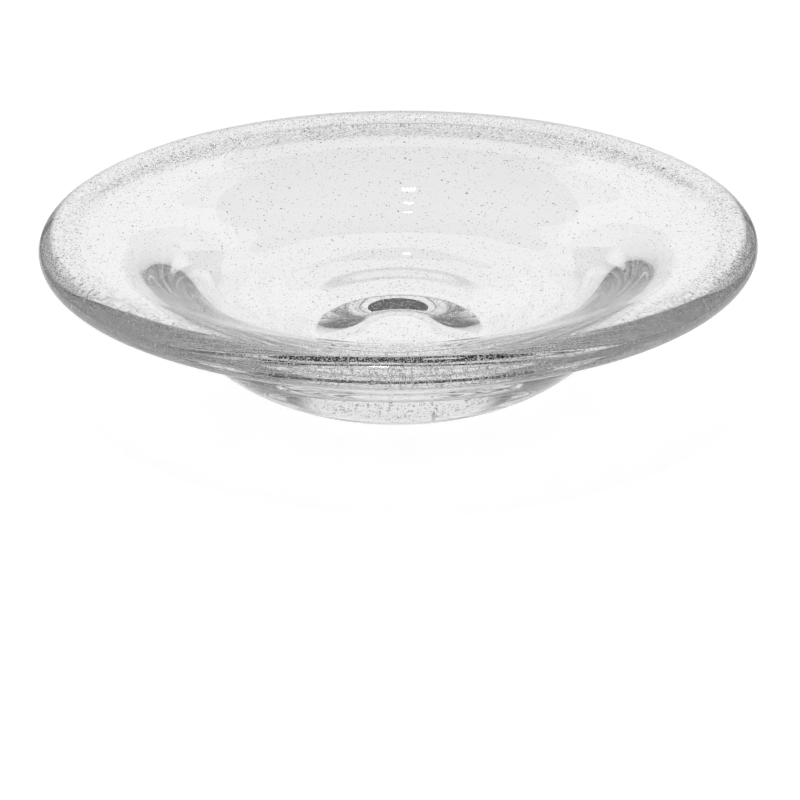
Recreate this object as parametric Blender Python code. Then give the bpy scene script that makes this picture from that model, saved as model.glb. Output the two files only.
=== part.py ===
"""Candle plate of clear bubbly glass: one hot-formed piece, turned about +Z.

Metres, +Z up. The origin is on the table, under the middle of the plate's foot.
The plate is a heavy bowl with a thick base, a wide flared rim and a round lip. A candle stands on
the flat floor of the bowl. Underneath, a shallow hollow leaves a flat ring to rest on.
"""

import math

import bpy
from mathutils import Vector
from mathutils.geometry import interpolate_bezier

# Overall size
PLATE_RADIUS = 0.125  # to the outside of the lip
PLATE_HEIGHT = 0.0625  # from the table to the top of the lip

# Lip: a fire-polished round edge, oval in section
LIP_THICKNESS = 0.0117  # height of the oval
LIP_ROUNDING = 0.0074  # half the width of the oval

# Rim: the flared part between the bowl's bend and the lip
RIM_WIDTH = 0.0270  # from the outside of the lip in to the bend's upper end
RIM_DROP = 0.0058  # how far the underside falls across the rim
RIM_SLOPE = 28.5  # degrees, at the bend's upper end
RIM_THICKNESS = 0.0108
RIM_SLOPE_INSIDE = 23.0

# Bend: where the rim turns down into the bowl's wall
BEND_WIDTH = 0.0171
BEND_DROP = 0.0151
WALL_SLOPE = 56.0  # degrees, the steepest part of the wall outside
WALL_THICKNESS = 0.0154
WALL_SLOPE_INSIDE = 54.2

# Belly: where the wall rounds under towards the foot
BELLY_WIDTH = 0.0247  # from the foot out to the belly
BELLY_RISE = 0.0079  # from the table up to the belly
BELLY_SLOPE = 28.6
BELLY_THICKNESS = 0.0240  # square to the outside, as the others
BELLY_SLOPE_INSIDE = 23.2

# Foot: a flat ring round a shallow hollow, which rises from the ring and flattens to the middle
FOOT_RADIUS = 0.0326
FOOT_SLOPE = 13.6  # degrees, where the belly leaves the foot
RING_WIDTH = 0.0026
HOLLOW_DEPTH = 0.0047
HOLLOW_EDGE_SLOPE = 10.1
HOLLOW_SIDE_WIDTH = 0.0151  # from the ring in to where the hollow flattens
HOLLOW_SIDE_RISE = 0.0037
HOLLOW_SIDE_SLOPE = 17.0

# Floor of the bowl, flat in the middle, where the candle stands
BASE_THICKNESS = 0.0231  # glass between the hollow's top and the floor
FLOOR_RADIUS = 0.0230

# Fineness of the turned surface
STEPS_ROUND = 60
SPAN_POINTS = 6
LIP_POINTS = 8
HANDLE_SHARE = 0.36  # length of a curve's handle, as a share of its span


def clear_glass():
    """Colourless soda glass, polished."""
    material = bpy.data.materials.new("clear_glass")
    material.use_nodes = True
    shader = material.node_tree.nodes["Principled BSDF"]
    shader.inputs["Base Color"].default_value = (0.93, 0.95, 0.95, 1.0)
    shader.inputs["Roughness"].default_value = 0.03
    shader.inputs["Metallic"].default_value = 0.0
    shader.inputs["IOR"].default_value = 1.5
    shader.inputs["Transmission Weight"].default_value = 1.0
    return material


def station(radius, height, slope):
    """A point of the profile, with the slope in degrees that the surface has there."""
    return Vector((radius, 0.0, height)), math.radians(slope)


def through_glass(below, thickness, slope):
    """The station inside the bowl, straight through the glass from one on the outside."""
    point, slope_below = below
    through = Vector((-math.sin(slope_below), 0.0, math.cos(slope_below)))
    return point + through * thickness, math.radians(slope)


def span(start, end, count):
    """Points on one smooth curve from a station to the next, without the last."""
    (first, first_slope), (last, last_slope) = start, end
    reach = HANDLE_SHARE * (last - first).length
    way = 1.0 if last.x > first.x else -1.0
    leaving = Vector((math.cos(first_slope), 0.0, math.sin(first_slope))) * way
    arriving = Vector((math.cos(last_slope), 0.0, math.sin(last_slope))) * way
    curve = interpolate_bezier(first, first + leaving * reach, last - arriving * reach, last, count + 1)
    return list(curve)[:-1]


def profile():
    """The section from the middle of the floor, over the lip and down to the middle of the hollow."""
    lip_height = PLATE_HEIGHT - LIP_THICKNESS / 2
    lip_radius = PLATE_RADIUS - LIP_ROUNDING
    lip_top = station(lip_radius, PLATE_HEIGHT, 0.0)
    lip_bottom = station(lip_radius, PLATE_HEIGHT - LIP_THICKNESS, 0.0)

    rim = station(PLATE_RADIUS - RIM_WIDTH, PLATE_HEIGHT - LIP_THICKNESS - RIM_DROP, RIM_SLOPE)
    wall = station(rim[0].x - BEND_WIDTH, rim[0].z - BEND_DROP, WALL_SLOPE)
    belly = station(FOOT_RADIUS + BELLY_WIDTH, BELLY_RISE, BELLY_SLOPE)
    foot_edge = station(FOOT_RADIUS, 0.0, FOOT_SLOPE)
    ring_edge = station(FOOT_RADIUS - RING_WIDTH, 0.0, -HOLLOW_EDGE_SLOPE)
    hollow_side = station(ring_edge[0].x - HOLLOW_SIDE_WIDTH, HOLLOW_SIDE_RISE, -HOLLOW_SIDE_SLOPE)
    hollow_top = station(0.0, HOLLOW_DEPTH, 0.0)

    floor_height = HOLLOW_DEPTH + BASE_THICKNESS
    floor_edge = station(FLOOR_RADIUS, floor_height, 0.0)
    wall_inside = through_glass(wall, WALL_THICKNESS, WALL_SLOPE_INSIDE)
    belly_inside = through_glass(belly, BELLY_THICKNESS, BELLY_SLOPE_INSIDE)
    rim_inside = through_glass(rim, RIM_THICKNESS, RIM_SLOPE_INSIDE)

    points = [Vector((0.0, 0.0, floor_height))]
    points += span(floor_edge, belly_inside, SPAN_POINTS)
    points += span(belly_inside, wall_inside, SPAN_POINTS)
    points += span(wall_inside, rim_inside, SPAN_POINTS)
    points += span(rim_inside, lip_top, SPAN_POINTS)
    for number in range(LIP_POINTS):
        turn = math.pi * number / LIP_POINTS
        across = LIP_ROUNDING * math.sin(turn)
        up = LIP_THICKNESS / 2 * math.cos(turn)
        points.append(Vector((lip_radius + across, 0.0, lip_height + up)))
    points += span(lip_bottom, rim, SPAN_POINTS)
    points += span(rim, wall, SPAN_POINTS)
    points += span(wall, belly, SPAN_POINTS)
    points += span(belly, foot_edge, SPAN_POINTS)
    points.append(foot_edge[0])
    points += span(ring_edge, hollow_side, SPAN_POINTS)
    points += span(hollow_side, hollow_top, SPAN_POINTS)
    points.append(hollow_top[0])
    return points


def turned_plate(name, material):
    """The profile turned once round the upright axis into one closed solid."""
    points = profile()
    edges = [(number, number + 1) for number in range(len(points) - 1)]
    mesh = bpy.data.meshes.new(name)
    mesh.from_pydata(points, edges, [])
    mesh.materials.append(material)
    plate = bpy.data.objects.new(name, mesh)
    bpy.context.scene.collection.objects.link(plate)
    turning = plate.modifiers.new("turning", "SCREW")
    turning.axis = "Z"
    turning.angle = 2 * math.pi
    turning.steps = STEPS_ROUND
    turning.render_steps = STEPS_ROUND
    turning.use_merge_vertices = True
    turning.merge_threshold = 0.00005
    turning.use_smooth_shade = True
    return plate


for old in list(bpy.data.objects):
    bpy.data.objects.remove(old)
turned_plate("glass_plate", clear_glass())
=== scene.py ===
import math

import bpy
import numpy as np
from mathutils import Matrix, Vector
from mathutils.geometry import interpolate_bezier


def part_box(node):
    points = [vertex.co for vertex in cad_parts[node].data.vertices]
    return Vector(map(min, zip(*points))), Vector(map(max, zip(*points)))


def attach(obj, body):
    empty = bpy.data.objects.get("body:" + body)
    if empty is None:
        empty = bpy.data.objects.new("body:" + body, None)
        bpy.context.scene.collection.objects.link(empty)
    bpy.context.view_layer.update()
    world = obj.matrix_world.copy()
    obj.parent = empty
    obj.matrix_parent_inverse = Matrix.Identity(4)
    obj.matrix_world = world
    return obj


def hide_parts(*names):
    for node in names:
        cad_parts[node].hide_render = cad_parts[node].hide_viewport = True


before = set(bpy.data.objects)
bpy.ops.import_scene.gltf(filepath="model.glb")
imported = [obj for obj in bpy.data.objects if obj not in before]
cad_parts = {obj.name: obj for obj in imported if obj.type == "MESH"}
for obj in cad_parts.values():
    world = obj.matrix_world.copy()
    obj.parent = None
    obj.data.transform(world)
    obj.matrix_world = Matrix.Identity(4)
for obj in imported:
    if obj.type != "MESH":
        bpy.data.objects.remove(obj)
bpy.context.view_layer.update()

# The plate is one gather of clear glass, spun open while hot and fire-polished at its lip. It is turned
# here from half its section: the floor and wall inside, the round lip, the wall outside, and the ring
# foot round its shallow hollow. Nothing is fixed to it, and it stands free on its foot.
plate_low, plate_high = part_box("glass_plate")
PLATE_RADIUS = plate_high.x
PLATE_HEIGHT = plate_high.z
LIP_THICKNESS = 0.0117
LIP_ROUNDING = 0.0074
RIM_WIDTH = 0.0270
RIM_DROP = 0.0058
RIM_SLOPE = 28.5  # slopes are in degrees
RIM_THICKNESS = 0.0108
RIM_SLOPE_INSIDE = 23.0
BEND_WIDTH = 0.0171
BEND_DROP = 0.0151
WALL_SLOPE = 56.0
WALL_THICKNESS = 0.0154
WALL_SLOPE_INSIDE = 54.2
BELLY_WIDTH = 0.0247
BELLY_RISE = 0.0079
BELLY_SLOPE = 28.6
BELLY_THICKNESS = 0.0240  # square to the outside, as at the rim and the wall
BELLY_SLOPE_INSIDE = 23.2
FOOT_RADIUS = 0.0326
FOOT_SLOPE = 13.6
RING_WIDTH = 0.0026
HOLLOW_DEPTH = 0.0047
HOLLOW_EDGE_SLOPE = 10.1
HOLLOW_SIDE_WIDTH = 0.0151
HOLLOW_SIDE_RISE = 0.0037
HOLLOW_SIDE_SLOPE = 17.0
BASE_THICKNESS = 0.0231
FLOOR_RADIUS = 0.0230
HANDLE_SHARE = 0.36  # length of a curve's handle, as a share of its span
SPAN_POINTS = 16
LIP_POINTS = 24
STEPS_ROUND = 192
HAND_WAVES = 0.00022  # how far the hot glass wandered from the true round
WAVE_SIZE = 0.045
MERGE_GAP = 0.00001


def station(radius, height, slope):
    """A point of the section, with the slope in degrees that the glass has there."""
    return Vector((radius, 0.0, height)), math.radians(slope)


def through_glass(below, thickness, slope):
    """The station inside the bowl, straight through the glass from one on the outside."""
    point, slope_below = below
    through = Vector((-math.sin(slope_below), 0.0, math.cos(slope_below)))
    return point + through * thickness, math.radians(slope)


def span(start, end):
    """Points on one smooth curve from a station to the next, without the last."""
    (first, first_slope), (last, last_slope) = start, end
    reach = HANDLE_SHARE * (last - first).length
    way = 1.0 if last.x > first.x else -1.0
    leaving = Vector((math.cos(first_slope), 0.0, math.sin(first_slope))) * way
    arriving = Vector((math.cos(last_slope), 0.0, math.sin(last_slope))) * way
    leaves_to = first + leaving * reach
    arrives_from = last - arriving * reach
    curve = interpolate_bezier(first, leaves_to, arrives_from, last, SPAN_POINTS + 1)
    return list(curve)[:-1]


def plate_section():
    """Half the section, from the middle of the floor, over the lip, to the middle of the hollow."""
    lip_height = PLATE_HEIGHT - LIP_THICKNESS / 2
    lip_radius = PLATE_RADIUS - LIP_ROUNDING
    lip_top = station(lip_radius, PLATE_HEIGHT, 0.0)
    lip_bottom = station(lip_radius, PLATE_HEIGHT - LIP_THICKNESS, 0.0)
    rim = station(PLATE_RADIUS - RIM_WIDTH, PLATE_HEIGHT - LIP_THICKNESS - RIM_DROP, RIM_SLOPE)
    wall = station(rim[0].x - BEND_WIDTH, rim[0].z - BEND_DROP, WALL_SLOPE)
    belly = station(FOOT_RADIUS + BELLY_WIDTH, BELLY_RISE, BELLY_SLOPE)
    foot_edge = station(FOOT_RADIUS, 0.0, FOOT_SLOPE)
    ring_edge = station(FOOT_RADIUS - RING_WIDTH, 0.0, -HOLLOW_EDGE_SLOPE)
    hollow_side = station(ring_edge[0].x - HOLLOW_SIDE_WIDTH, HOLLOW_SIDE_RISE, -HOLLOW_SIDE_SLOPE)
    hollow_top = station(0.0, HOLLOW_DEPTH, 0.0)
    floor_height = HOLLOW_DEPTH + BASE_THICKNESS
    floor_edge = station(FLOOR_RADIUS, floor_height, 0.0)
    wall_inside = through_glass(wall, WALL_THICKNESS, WALL_SLOPE_INSIDE)
    belly_inside = through_glass(belly, BELLY_THICKNESS, BELLY_SLOPE_INSIDE)
    rim_inside = through_glass(rim, RIM_THICKNESS, RIM_SLOPE_INSIDE)

    points = [Vector((0.0, 0.0, floor_height))]
    points += span(floor_edge, belly_inside) + span(belly_inside, wall_inside)
    points += span(wall_inside, rim_inside) + span(rim_inside, lip_top)
    for number in range(LIP_POINTS):
        turn = math.pi * number / LIP_POINTS
        across = LIP_ROUNDING * math.sin(turn)
        up = LIP_THICKNESS / 2 * math.cos(turn)
        points.append(Vector((lip_radius + across, 0.0, lip_height + up)))
    points += span(lip_bottom, rim) + span(rim, wall) + span(wall, belly) + span(belly, foot_edge)
    points.append(foot_edge[0])
    points += span(ring_edge, hollow_side) + span(hollow_side, hollow_top)
    points.append(hollow_top[0])
    return points


def start_piece(name, add_primitive, **settings):
    """Adds a primitive under the piece's name, with nothing else selected."""
    bpy.ops.object.select_all(action="DESELECT")
    add_primitive(**settings)
    piece = bpy.context.active_object
    piece.name = name
    piece.data.name = name
    return piece


def apply_modifier(piece, name, kind, **settings):
    """Adds a modifier to the active piece, sets it and applies it."""
    modifier = piece.modifiers.new(name, kind)
    for setting, value in settings.items():
        setattr(modifier, setting, value)
    bpy.ops.object.modifier_apply(modifier=name)


section = plate_section()
glass_body = start_piece("glass_body", bpy.ops.mesh.primitive_plane_add, size=0.01, location=section[0])
bpy.ops.object.mode_set(mode="EDIT")
bpy.ops.mesh.merge(type="CENTER")
for before, after in zip(section[:-1], section[1:]):
    bpy.ops.mesh.extrude_vertices_move(TRANSFORM_OT_translate={"value": after - before})
bpy.ops.mesh.select_all(action="SELECT")
bpy.ops.mesh.spin(steps=STEPS_ROUND, angle=2 * math.pi, center=(0, 0, 0), axis=(0, 0, 1))
bpy.ops.mesh.select_all(action="SELECT")
bpy.ops.mesh.remove_doubles(threshold=MERGE_GAP)
bpy.ops.mesh.normals_make_consistent(inside=False)
bpy.ops.object.mode_set(mode="OBJECT")
bpy.ops.object.transform_apply(location=True, rotation=True, scale=True)
waves = bpy.data.textures.new("hand_waves", "CLOUDS")
waves.noise_scale = WAVE_SIZE
waves.noise_depth = 1
apply_modifier(
    glass_body, "waves", "DISPLACE", texture=waves, texture_coords="LOCAL", strength=HAND_WAVES,
    mid_level=1.0,
)
bpy.ops.object.shade_smooth()


class Link:
    """A shader socket that grows its Math nodes when it is used in an expression."""

    def __init__(self, tree, socket):
        self.tree = tree
        self.socket = socket

    def math(self, operation, *values):
        node = self.tree.nodes.new("ShaderNodeMath")
        node.operation = operation
        for place, value in zip(node.inputs, (self, *values)):
            if isinstance(value, Link):
                self.tree.links.new(value.socket, place)
            else:
                place.default_value = value
        return Link(self.tree, node.outputs[0])

    def __add__(self, other):
        return self.math("ADD", other)

    def __mul__(self, other):
        return self.math("MULTIPLY", other)

    __radd__ = __add__
    __rmul__ = __mul__


class Nodes:
    """The node tree of a material or world, with one method that adds any node."""

    def __init__(self, owner):
        owner.use_nodes = True
        self.tree = owner.node_tree
        self.tree.nodes.clear()

    def add(self, kind, settings=None, stops=None, output=None, **values):
        """Adds a node, sets it, then gives its sockets their values or links. Returns one output."""
        node = self.tree.nodes.new("ShaderNode" + kind)
        for setting, value in (settings or {}).items():
            setattr(node, setting, value)
        for number, (position, level) in enumerate(stops or []):
            if number > 1:
                node.color_ramp.elements.new(position)
            node.color_ramp.elements[number].position = position
            node.color_ramp.elements[number].color = (level, level, level, 1.0)
        for name, value in values.items():
            enabled = [socket for socket in node.inputs if socket.enabled]
            socket = next(one for one in enabled if name in (one.identifier, one.name.replace(" ", "_")))
            if isinstance(value, Link):
                self.tree.links.new(value.socket, socket)
            else:
                socket.default_value = value
        shown = [socket for socket in node.outputs if socket.enabled and output in (None, socket.name)]
        return Link(self.tree, shown[0]) if shown else None


GLASS_INDEX = 1.5
GLASS_TINT = (0.99, 0.99, 0.99, 1.0)
GLASS_TINT_THICK = (0.97, 0.97, 0.97, 1.0)
CLOUD_SCALE = 18.0
RIPPLE_SCALE = 55.0
PIT_SCALE = 900.0
PIT_SHARE = 0.04
RIPPLE_HEIGHT = 0.00002

clear_glass = bpy.data.materials.new("seeded_clear_glass")
nodes = Nodes(clear_glass)
place = nodes.add("TexCoord", output="Object")
clouds = nodes.add("TexNoise", Vector=place, Scale=CLOUD_SCALE, Detail=2.0, output="Fac")
ripple = nodes.add("TexNoise", Vector=place, Scale=RIPPLE_SCALE, Detail=1.0, output="Fac")
pits = nodes.add("TexNoise", Vector=place, Scale=PIT_SCALE, Detail=0.0, output="Fac")
tint = nodes.add("Mix", {"data_type": "RGBA"}, Factor=clouds, A=GLASS_TINT, B=GLASS_TINT_THICK)
relief = nodes.add("Bump", Strength=1.0, Distance=RIPPLE_HEIGHT, Height=ripple + PIT_SHARE * pits)
glass = nodes.add(
    "BsdfPrincipled", Base_Color=tint, Roughness=0.0, IOR=GLASS_INDEX, Transmission_Weight=1.0,
    Normal=relief,
)
nodes.add("OutputMaterial", Surface=glass)
glass_body.data.materials.append(clear_glass)
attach(glass_body, "root")
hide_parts("glass_plate")

# The seeds are the gas bubbles that the melt kept, closed voids all through the glass and under a
# millimetre across. Spinning the hot glass drew them out a little along the round. Each is a closed skin
# with air's lower index inside it, and each region of the plate has one piece that holds its seeds.
SEED_MARGIN = 0.0006  # glass between a seed and the surface
SEED_RADIUS = 0.00011
LIP_SEED_RADIUS = 0.0001
SEED_SPREAD = 0.45  # of the sizes, as powers of e
SEED_SMALLEST = 0.00006
SEED_LARGEST = 0.00042
SEED_STRETCH = 0.5  # the most that a seed is drawn out, as a share of its length
SEED_TRIES = 5  # random places drawn for each seed wanted, as some fall outside the glass
LIP_SEEDS_REACH = 1.3  # lip thicknesses from the plate's top down
LIP_LOW = PLATE_HEIGHT - LIP_SEEDS_REACH * LIP_THICKNESS
REGIONS = {  # inner radius, outer radius, lowest height, how many, usual radius of a seed
    "seeds_in_base": (0.0, 0.055, 0.0, 8000, SEED_RADIUS),
    "seeds_in_wall": (0.055, 0.092, 0.004, 9500, SEED_RADIUS),
    "seeds_in_rim": (0.092, 0.112, 0.038, 9500, SEED_RADIUS),
    "seeds_in_lip_inside": (0.112, 0.1153, LIP_LOW, 9000, LIP_SEED_RADIUS),
    "seeds_in_lip_under_top": (0.1153, 0.1186, LIP_LOW, 9500, LIP_SEED_RADIUS),
    "seeds_in_lip_middle": (0.1186, 0.1212, LIP_LOW, 9500, LIP_SEED_RADIUS),
    "seeds_in_lip_outside": (0.1212, PLATE_RADIUS, LIP_LOW, 9500, LIP_SEED_RADIUS),
}
SEED_HAZE_SCALE = 260.0
SEED_SKIN = (1.0, 1.0, 1.0, 1.0)
SEED_SKIN_HAZY = (0.94, 0.94, 0.94, 1.0)
CHANCE_START = 41
chance = np.random.default_rng(CHANCE_START)


def depth_in_section(points, outline):
    """How deep each point (radius, height) lies in the outline, and below zero outside it."""
    start = outline
    end = np.roll(outline, -1, axis=0)
    along = end - start
    offset = points[:, None, :] - start[None]
    share = np.clip((offset * along).sum(2) / np.maximum((along * along).sum(1), 1e-18), 0, 1)
    gap = np.linalg.norm(offset - share[..., None] * along, axis=2).min(1)
    crosses = (start[:, 1] > points[:, 1:2]) != (end[:, 1] > points[:, 1:2])
    rise = np.where(along[:, 1] == 0, 1e-12, along[:, 1])
    reach = start[:, 0] + (points[:, 1:2] - start[:, 1]) * along[:, 0] / rise
    inside = (crosses & (points[:, 0:1] < reach)).sum(1) % 2 == 1
    return np.where(inside, gap, -gap)


outline = np.array([(point.x, point.z) for point in section])
one_seed = start_piece("one_seed", bpy.ops.mesh.primitive_ico_sphere_add, subdivisions=1, radius=1.0)
seed_corners = np.array([corner.co for corner in one_seed.data.vertices])
seed_faces = np.array([face.vertices for face in one_seed.data.polygons])
bpy.data.objects.remove(one_seed)

seed_gas = bpy.data.materials.new("seed_gas")
nodes = Nodes(seed_gas)
place = nodes.add("TexCoord", output="Object")
haze = nodes.add("TexNoise", Vector=place, Scale=SEED_HAZE_SCALE, Detail=0.0, output="Fac")
skin = nodes.add("Mix", {"data_type": "RGBA"}, Factor=haze, A=SEED_SKIN, B=SEED_SKIN_HAZY)
gas = nodes.add(
    "BsdfPrincipled", Base_Color=skin, Roughness=0.0, IOR=1 / GLASS_INDEX, Transmission_Weight=1.0
)
nodes.add("OutputMaterial", Surface=gas)

for name, (inner, outer, low, count, usual) in REGIONS.items():
    tries = SEED_TRIES * count
    radius = np.sqrt(chance.uniform(inner ** 2, outer ** 2, tries))
    height = chance.uniform(low, PLATE_HEIGHT, tries)
    size = usual * np.exp(SEED_SPREAD * chance.standard_normal(tries))
    size = np.clip(size, SEED_SMALLEST, SEED_LARGEST)
    depth = depth_in_section(np.column_stack([radius, height]), outline)
    kept = np.flatnonzero(depth > SEED_MARGIN + size)[:count]
    turn = chance.uniform(0, 2 * math.pi, len(kept))
    stretch = 1 + SEED_STRETCH * chance.random(len(kept))
    outward = np.column_stack([np.cos(turn), np.sin(turn), np.zeros(len(kept))])
    onward = np.column_stack([-np.sin(turn), np.cos(turn), np.zeros(len(kept))])
    corner_x = seed_corners[None, :, 0] * size[kept, None]
    corner_y = seed_corners[None, :, 1] * (size[kept] * stretch)[:, None]
    corner_z = seed_corners[None, :, 2] * size[kept, None]
    corners = outward[:, None] * (radius[kept, None] + corner_x)[..., None]
    corners += onward[:, None] * corner_y[..., None]
    corners[..., 2] += height[kept, None] + corner_z
    faces = seed_faces[None] + len(seed_corners) * np.arange(len(kept))[:, None, None]
    seeds = start_piece(name, bpy.ops.mesh.primitive_ico_sphere_add, subdivisions=1, radius=SEED_RADIUS)
    seeds.data.clear_geometry()
    seeds.data.from_pydata(corners.reshape(-1, 3).tolist(), [], faces.reshape(-1, 3).tolist())
    bpy.ops.object.shade_smooth()
    seeds.data.materials.append(seed_gas)
    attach(seeds, "root")

# The studio is a plain pale table top that turns up into a pale backdrop far away. The glass sees white
# paper behind it, the bright table, a grey room above that and dark overhead, which draws its edges. A
# strip of white card stands behind the far lip, out of the picture, and one small lamp hangs above.
TABLE_RADIUS = 9.0
TABLE_SIDES = 128
TABLE_SINK = 0.0002
TABLE_PALE = (0.9, 0.9, 0.9, 1.0)
TABLE_GLOW = 0.58
WHITE = (1.0, 1.0, 1.0, 1.0)
BACKDROP_HEIGHT = 6.0
table_top = start_piece(
    "table_top", bpy.ops.mesh.primitive_circle_add, vertices=TABLE_SIDES, radius=TABLE_RADIUS,
    fill_type="NGON",
)
table_top.data.transform(Matrix.Translation((0, 0, -TABLE_SINK)))
backdrop = start_piece(
    "backdrop", bpy.ops.mesh.primitive_cylinder_add, vertices=TABLE_SIDES, radius=TABLE_RADIUS,
    depth=BACKDROP_HEIGHT, end_fill_type="NOTHING",
)
backdrop.data.transform(Matrix.Translation((0, 0, BACKDROP_HEIGHT / 2 - TABLE_SINK)))
bpy.ops.object.shade_smooth()
pale_paper = bpy.data.materials.new("pale_paper")
nodes = Nodes(pale_paper)
paper = nodes.add("BsdfDiffuse", Color=TABLE_PALE)
glow = nodes.add("Emission", Color=WHITE, Strength=TABLE_GLOW)
nodes.add("OutputMaterial", Surface=nodes.add("AddShader", Shader=paper, Shader_001=glow))
for stage_piece in (table_top, backdrop):
    stage_piece.data.materials.append(pale_paper)
    stage_piece.visible_transmission = False
    stage_piece.visible_glossy = False
backdrop.visible_diffuse = False
backdrop.visible_shadow = False

CARD_RADIUS = 0.16
CARD_LOW = 0.1
CARD_HIGH = 0.172
CARD_SPAN = 110.0  # degrees round the back of the plate
CARD_STEPS = 48
CARD_GLOW = 0.62
card_foot = (CARD_RADIUS, 0, CARD_LOW)
card = start_piece("card", bpy.ops.mesh.primitive_plane_add, size=0.01, location=card_foot)
bpy.ops.object.mode_set(mode="EDIT")
bpy.ops.mesh.merge(type="CENTER")
bpy.ops.mesh.extrude_vertices_move(TRANSFORM_OT_translate={"value": (0, 0, CARD_HIGH - CARD_LOW)})
bpy.ops.mesh.select_all(action="SELECT")
bpy.ops.mesh.spin(
    steps=CARD_STEPS, angle=math.radians(CARD_SPAN), center=(0, 0, 0), axis=(0, 0, 1),
)
bpy.ops.object.mode_set(mode="OBJECT")
bpy.ops.object.transform_apply(location=True, rotation=True, scale=True)
card.data.transform(Matrix.Rotation(math.radians(90 + CARD_SPAN / 2), 4, "Z"))
bpy.ops.object.shade_smooth()
white_card = bpy.data.materials.new("white_card")
nodes = Nodes(white_card)
nodes.add("OutputMaterial", Surface=nodes.add("Emission", Color=WHITE, Strength=CARD_GLOW))
card.data.materials.append(white_card)
card.visible_camera = False
card.visible_diffuse = False
card.visible_shadow = False

PAPER_BRIGHT = 0.65  # the other levels of the room are shares of the paper's
BELOW_LIGHT = 0.9
TABLE_NEAR = 0.7
TABLE_LIGHT = 0.85
SIDE_GREY = 0.22
CEILING_DARK = 0.02
FRONT_DIM = 0.5
FRONT_SIDE_DIM = 0.8
BELOW_HIGH = -84.0  # elevations in degrees, from straight below up to the ceiling
NEAR_LOW = -77.0
NEAR_HIGH = -60.0
PAPER_LOW = -44.0
TABLE_EDGE = -14.0
SIDE_LOW = -9.0
PAPER_HIGH = 53.0
CEILING_LOW = 56.0
PAPER_REACH = 20.0  # degrees to each side of straight behind
PAPER_FADE = 3.0
SIDE_END = 95.0
FRONT_SIDE_START = 112.0
FRONT_SIDE_END = 150.0
FRONT_START = 165.0
ROOM_BY_HEIGHT = [
    (BELOW_HIGH, BELOW_LIGHT), (NEAR_LOW, TABLE_NEAR), (NEAR_HIGH, TABLE_NEAR),
    (PAPER_LOW, TABLE_LIGHT), (TABLE_EDGE, TABLE_LIGHT),
    (SIDE_LOW, SIDE_GREY), (PAPER_HIGH, SIDE_GREY), (CEILING_LOW, CEILING_DARK),
]
PAPER_BY_HEIGHT = [(NEAR_HIGH, 0.0), (PAPER_LOW, 1.0), (PAPER_HIGH, 1.0), (CEILING_LOW, 0.0)]
PAPER_BY_TURN = [(PAPER_REACH + PAPER_FADE, 0.0), (PAPER_REACH - PAPER_FADE, 1.0)]
DIM_BY_TURN = [
    (FRONT_START, FRONT_DIM), (FRONT_SIDE_END, FRONT_SIDE_DIM),
    (FRONT_SIDE_START, FRONT_SIDE_DIM), (SIDE_END, 1.0),
]
studio = bpy.data.worlds.new("studio")
bpy.context.scene.world = studio
nodes = Nodes(studio)
direction = nodes.add("TexCoord", output="Generated")
height = 0.5 * nodes.add("SeparateXYZ", Vector=direction, output="Z") + 0.5
level_way = nodes.add(
    "VectorMath", {"operation": "MULTIPLY"}, Vector=direction, Vector_001=(1.0, 1.0, 0.0),
)
level_way = nodes.add("VectorMath", {"operation": "NORMALIZE"}, Vector=level_way)
towards_back = 0.5 * nodes.add("SeparateXYZ", Vector=level_way, output="Y") + 0.5


def height_stops(levels):
    """Turns elevations in degrees into places on a ramp over the height of a direction."""
    return [(0.5 + 0.5 * math.sin(math.radians(angle)), level) for angle, level in levels]


def turn_stops(levels):
    """Turns degrees away from straight behind into places on a ramp from the front to the back."""
    return [(0.5 + 0.5 * math.cos(math.radians(angle)), level) for angle, level in levels]


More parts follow.
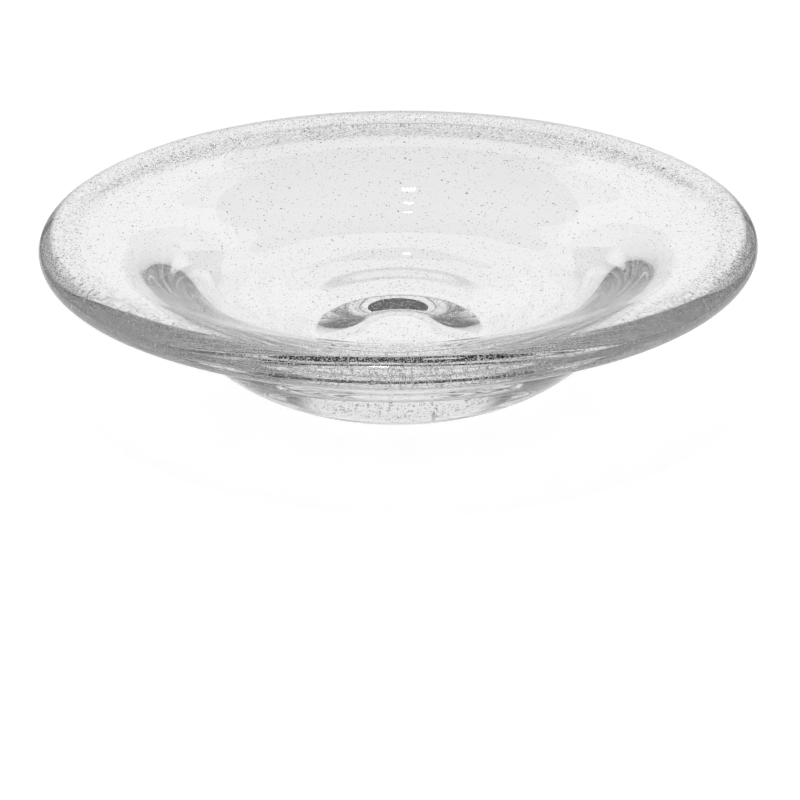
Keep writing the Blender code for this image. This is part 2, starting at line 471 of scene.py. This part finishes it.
room = nodes.add("ValToRGB", stops=height_stops(ROOM_BY_HEIGHT), Fac=height, output="Color")
in_height = nodes.add("ValToRGB", stops=height_stops(PAPER_BY_HEIGHT), Fac=height, output="Color")
in_turn = nodes.add("ValToRGB", stops=turn_stops(PAPER_BY_TURN), Fac=towards_back, output="Color")
dim_front = nodes.add("ValToRGB", stops=turn_stops(DIM_BY_TURN), Fac=towards_back, output="Color")
levels = nodes.add(
    "Mix", {"data_type": "RGBA"}, Factor=in_height * in_turn, A=room * dim_front, B=WHITE,
)
nodes.add("OutputWorld", Surface=nodes.add("Background", Color=levels, Strength=PAPER_BRIGHT))

LAMP_PLACE = (-0.07, -0.4, 0.9)
LAMP_WIDTH = 0.07
LAMP_DEPTH = 0.06
LAMP_POWER = 0.5
bpy.ops.object.light_add(type="AREA", location=LAMP_PLACE)
lamp = bpy.context.active_object
lamp.name = "lamp"
lamp.data.shape = "RECTANGLE"
lamp.data.size = LAMP_WIDTH
lamp.data.size_y = LAMP_DEPTH
lamp.data.energy = LAMP_POWER

CAMERA_PLACE = Vector((0.0, -0.6346, 0.2993))
CAMERA_ELEVATION = -26.02  # degrees, as its yaw and roll
CAMERA_YAW = 0.02
CAMERA_ROLL = -0.42
LENS = 86.5
SENSOR_WIDTH = 36.0
LIGHT_BOUNCES = 32
camera_data = bpy.data.cameras.new("camera")
camera = bpy.data.objects.new("camera", camera_data)
bpy.context.scene.collection.objects.link(camera)
camera_data.lens = LENS
camera_data.sensor_width = SENSOR_WIDTH
camera_data.clip_start = 0.01
camera_data.clip_end = 30.0
yawed = Matrix.Rotation(math.radians(-CAMERA_YAW), 4, "Z")
tilted = Matrix.Rotation(math.radians(90 + CAMERA_ELEVATION), 4, "X")
rolled = Matrix.Rotation(math.radians(CAMERA_ROLL), 4, "Z")
camera.matrix_world = Matrix.Translation(CAMERA_PLACE) @ yawed @ tilted @ rolled
bpy.context.scene.camera = camera
bpy.context.scene.view_settings.view_transform = "Standard"
bpy.context.scene.view_settings.look = "High Contrast"
bpy.context.scene.cycles.max_bounces = LIGHT_BOUNCES
bpy.context.scene.cycles.transmission_bounces = LIGHT_BOUNCES
bpy.context.scene.cycles.glossy_bounces = LIGHT_BOUNCES
